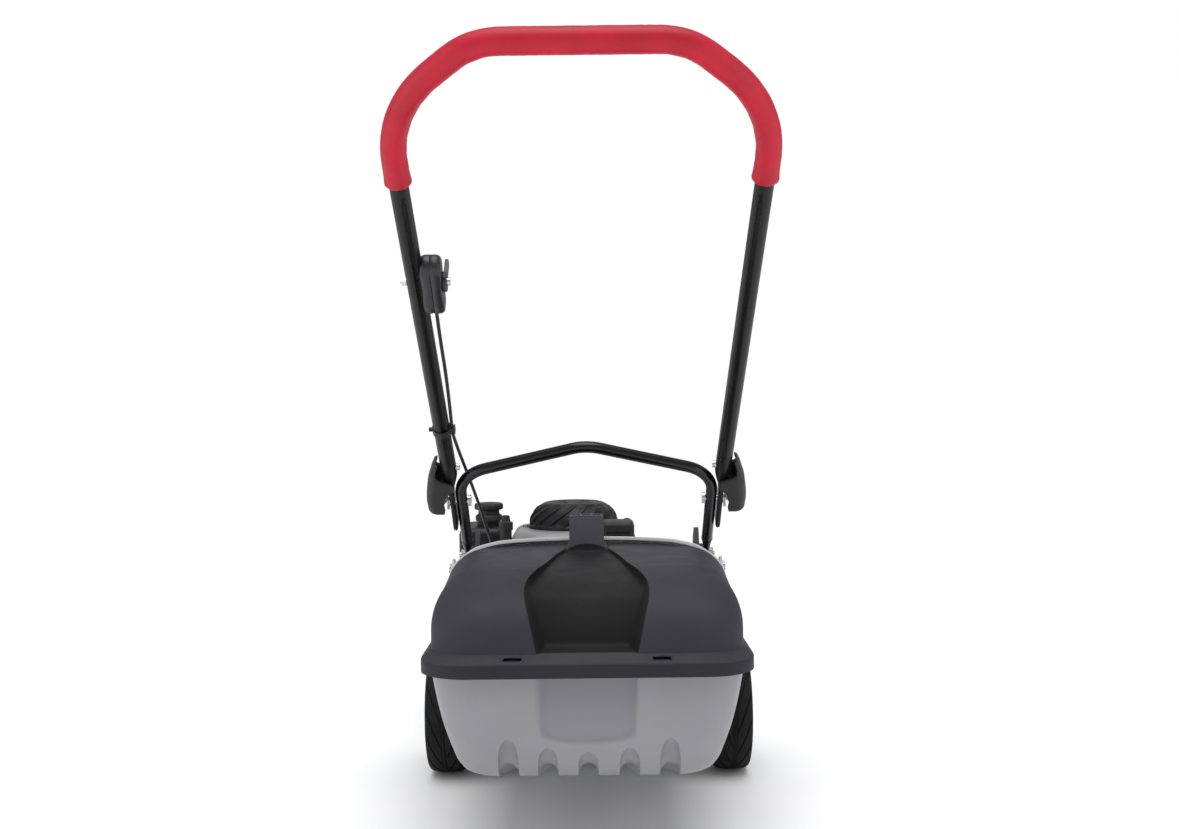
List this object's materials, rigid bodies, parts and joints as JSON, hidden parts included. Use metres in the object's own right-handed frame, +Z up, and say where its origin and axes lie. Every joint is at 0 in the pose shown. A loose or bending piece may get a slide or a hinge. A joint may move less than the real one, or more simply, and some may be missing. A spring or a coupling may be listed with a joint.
{
  "type": "rotary lawn mower",
  "caption": "Walk-behind petrol rotary mower with a folding tube handle, foam grip, cam levers, rear flap and a lift-off rear grass box on four plastic wheels.",
  "frame": {"origin": "on the ground under the rear axle, midway between the wheels; also the bottom centre of the bounding box", "axes": "+Z up, +Y forward in the direction of travel, +X to the right seen from behind"},
  "size_m": [0.456, 1.1714, 0.9111],
  "materials": {
    "grip_foam": "closed-cell foam sleeve, satin",
    "black_tube": "gloss black powder coat",
    "black_plastic": "fine moulded grain",
    "lid_plastic": "fine moulded grain, satin",
    "body_plastic": "smooth moulded polypropylene",
    "flap_plastic": "smooth moulded polypropylene",
    "tank_plastic": "blow-moulded, satin",
    "deck_steel": "silver enamel",
    "shroud_plastic": "satin",
    "cast_alloy": "as cast",
    "exhaust_steel": "heat-resistant paint",
    "bright_steel": "zinc plated",
    "plug_ceramic": "glazed ceramic and plated steel",
    "cable_sheath": "extruded sheath",
    "tyre_rubber": "matte with tread",
    "wheel_plastic": "moulded"
  },
  "bodies": {
    "chassis": {"deck": "deck_steel", "handle_bracket_right": "black_plastic", "handle_bracket_left": "black_plastic", "rear_axle": "bright_steel", "front_axle": "bright_steel", "axle_clips": "bright_steel", "lower_handle": "black_tube", "chassis_fasteners": "bright_steel", "throttle_cable_lower": "cable_sheath", "flap_pivots": "bright_steel", "flap_springs": "bright_steel", "crankcase": "cast_alloy", "cylinder_block": "cast_alloy", "cylinder_head": "cast_alloy", "spark_plug": "plug_ceramic", "blower_shroud": "shroud_plastic", "recoil_housing": "black_plastic", "starter_grip": "black_plastic", "fuel_tank": "tank_plastic", "oil_filler": "black_plastic", "air_filter_cover": "black_plastic", "carburettor": "cast_alloy", "muffler": "exhaust_steel", "muffler_guard": "exhaust_steel", "cable_clamp": "bright_steel"},
    "upper_handle": {"upper_handle_tube": "black_tube", "grip_foam": "grip_foam", "cam_bolts": "bright_steel", "cam_pins": "bright_steel", "throttle_housing_inner": "black_plastic", "throttle_housing_outer": "black_plastic", "handle_fixings": "bright_steel", "throttle_cable_upper": "cable_sheath", "cable_clip": "black_plastic"},
    "cam_lever_right": {"cam_lever_right": "black_plastic"},
    "cam_lever_left": {"cam_lever_left": "black_plastic"},
    "throttle_lever": {"throttle_lever": "black_plastic"},
    "rear_flap": {"rear_flap": "flap_plastic"},
    "grass_box": {"box_body": "body_plastic", "box_lid": "lid_plastic", "lid_handle": "lid_plastic"},
    "crank_group": {"crankshaft": "bright_steel", "flywheel": "cast_alloy", "blade_adapter": "bright_steel", "blade": "bright_steel", "blade_bolt": "bright_steel"},
    "fuel_cap": {"fuel_cap": "black_plastic"},
    "oil_cap": {"oil_cap": "black_plastic"},
    "rear_left_wheel": {"rear_left_tyre": "tyre_rubber", "rear_left_rim": "wheel_plastic", "rear_left_hub_cap": "wheel_plastic"},
    "rear_right_wheel": {"rear_right_tyre": "tyre_rubber", "rear_right_rim": "wheel_plastic", "rear_right_hub_cap": "wheel_plastic"},
    "front_left_wheel": {"front_left_tyre": "tyre_rubber", "front_left_rim": "wheel_plastic", "front_left_hub_cap": "wheel_plastic"},
    "front_right_wheel": {"front_right_tyre": "tyre_rubber", "front_right_rim": "wheel_plastic", "front_right_hub_cap": "wheel_plastic"}
  },
  "joints": [
    {"name": "handle_fold", "type": "hinge", "parent": "chassis", "child": "upper_handle", "pos_m": [0, -0.03, 0.392], "axis": [-1, 0, 0], "range_deg": [0, 137], "deforming": ["throttle_cable_lower"]},
    {"name": "cam_right_open", "type": "hinge", "parent": "upper_handle", "child": "cam_lever_right", "pos_m": [0.213, -0.02707, 0.38927], "axis": [0, 0.682, 0.7314], "range_deg": [0, 100]},
    {"name": "cam_left_open", "type": "hinge", "parent": "upper_handle", "child": "cam_lever_left", "pos_m": [-0.213, -0.02707, 0.38927], "axis": [0, -0.682, -0.7314], "range_deg": [0, 100]},
    {"name": "throttle_turn", "type": "hinge", "parent": "upper_handle", "child": "throttle_lever", "pos_m": [-0.164, -0.33424, 0.67571], "axis": [1, 0, 0], "range_deg": [-25, 40]},
    {"name": "flap_open", "type": "hinge", "parent": "chassis", "child": "rear_flap", "pos_m": [0, -0.006, 0.292], "axis": [-1, 0, 0], "range_deg": [0, 45], "stiffness_Nm_per_rad": 0.25, "springref_deg": -34.38, "deforming": ["flap_springs"]},
    {"name": "grass_box_slide", "type": "slide", "parent": "chassis", "child": "grass_box", "axis": [0, -1, 0], "range_m": [0, 0.3]},
    {"name": "crank_spin", "type": "hinge", "parent": "chassis", "child": "crank_group", "pos_m": [-0.022, 0.255, 0.065], "axis": [0, 0, 1], "continuous": true},
    {"name": "fuel_cap_turn", "type": "hinge", "parent": "chassis", "child": "fuel_cap", "pos_m": [-0.16, 0.245, 0.35], "axis": [0, 0, 1], "range_deg": [0, 120]},
    {"name": "oil_cap_turn", "type": "hinge", "parent": "chassis", "child": "oil_cap", "pos_m": [-0.126, 0.142, 0.34], "axis": [0, 0, 1], "range_deg": [0, 120]},
    {"name": "rear_left_spin", "type": "hinge", "parent": "chassis", "child": "rear_left_wheel", "pos_m": [-0.202, 0, 0.09], "axis": [1, 0, 0], "continuous": true},
    {"name": "rear_right_spin", "type": "hinge", "parent": "chassis", "child": "rear_right_wheel", "pos_m": [0.202, 0, 0.09], "axis": [1, 0, 0], "continuous": true},
    {"name": "front_left_spin", "type": "hinge", "parent": "chassis", "child": "front_left_wheel", "pos_m": [-0.202, 0.5057, 0.08], "axis": [1, 0, 0], "continuous": true},
    {"name": "front_right_spin", "type": "hinge", "parent": "chassis", "child": "front_right_wheel", "pos_m": [0.202, 0.5057, 0.08], "axis": [1, 0, 0], "continuous": true}
  ]
}
